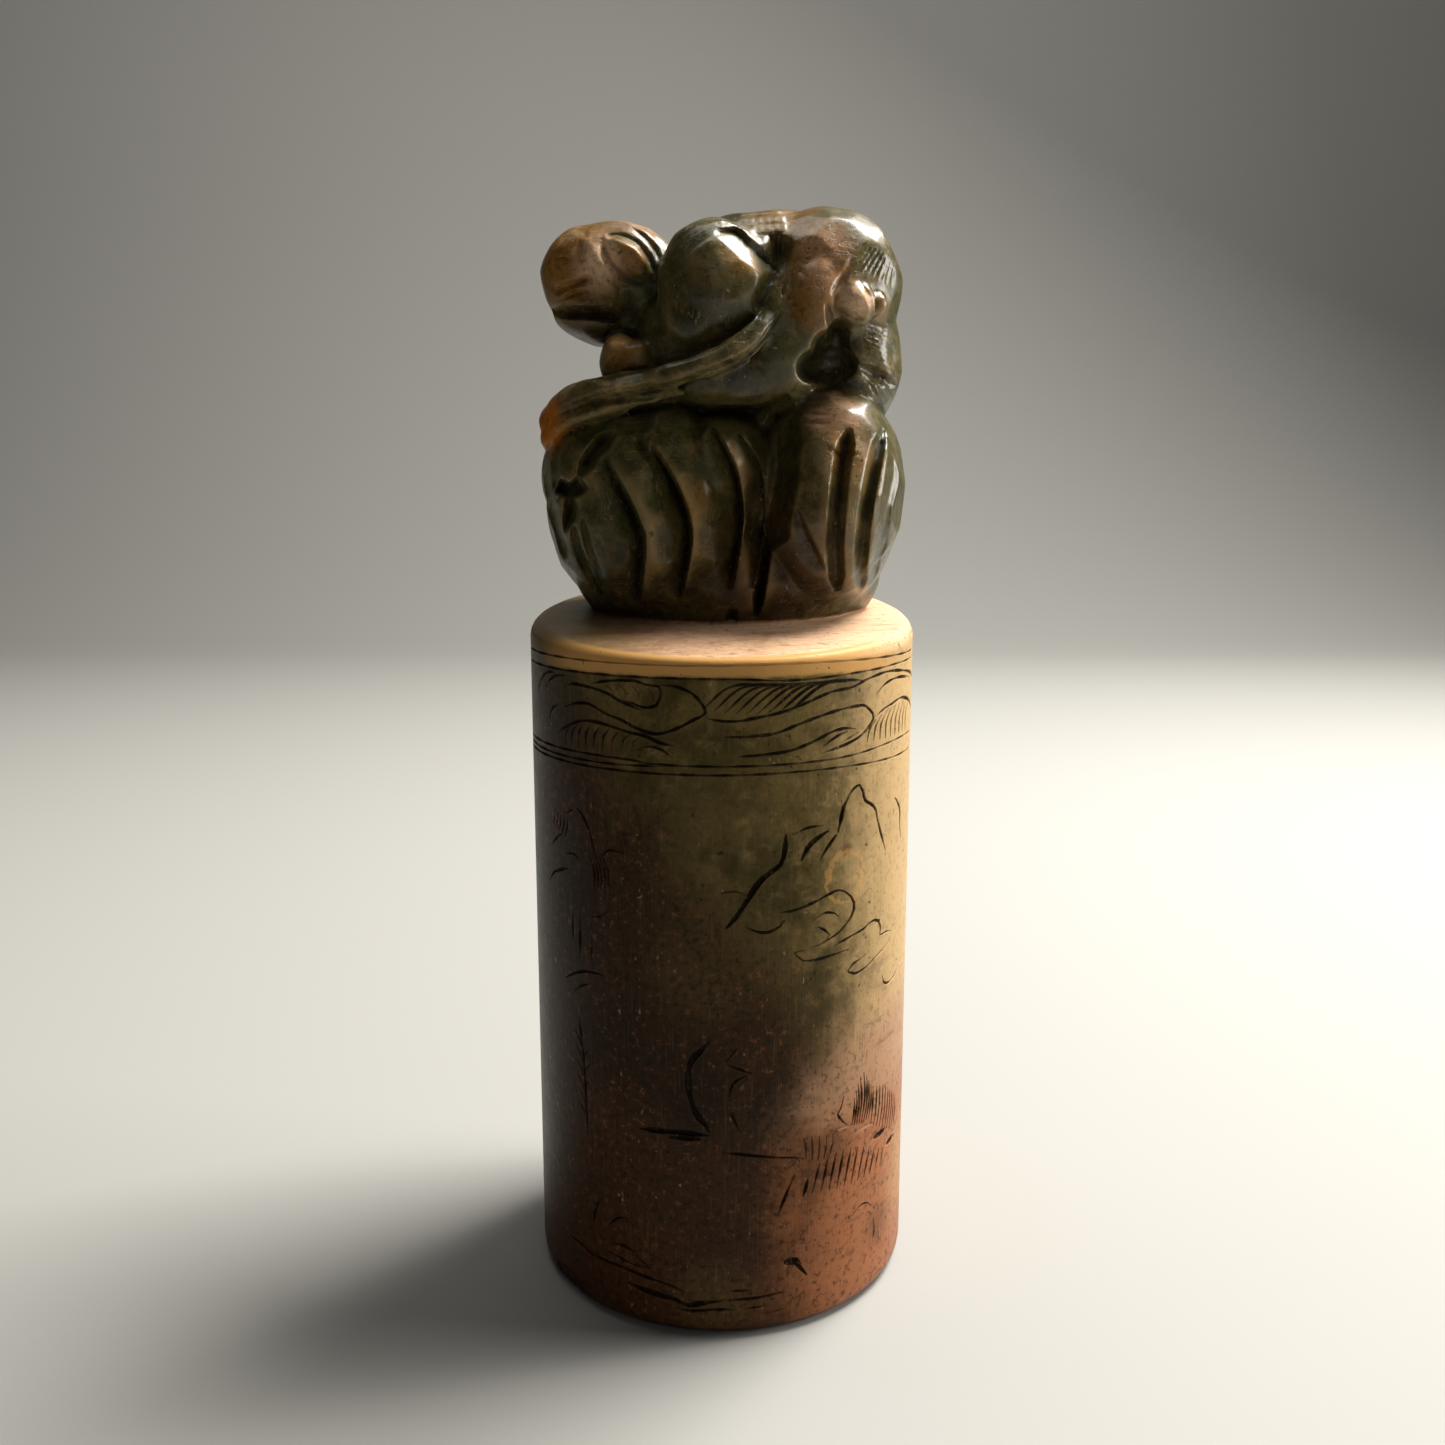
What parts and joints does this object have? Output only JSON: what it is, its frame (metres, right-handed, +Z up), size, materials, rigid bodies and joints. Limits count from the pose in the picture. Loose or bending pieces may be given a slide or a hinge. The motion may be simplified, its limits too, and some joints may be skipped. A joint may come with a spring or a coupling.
{
  "type": "chop seal",
  "caption": "Round carved soapstone seal: an engraved column with a sloping top ledge and a knob carved as a beast lying on ribbed fruit.",
  "frame": {"origin": "centre of the flat sealing face that the seal stands on", "axes": "+Z up the column towards the knob, +X towards the beast's rump, -Y towards the front with the engraved landscape"},
  "size_m": [0.03, 0.03, 0.0833],
  "materials": {
    "stone": "polished soapstone, olive brown with tan, ochre and red-brown zones"
  },
  "bodies": {
    "root": {"seal": "stone"}
  },
  "joints": []
}
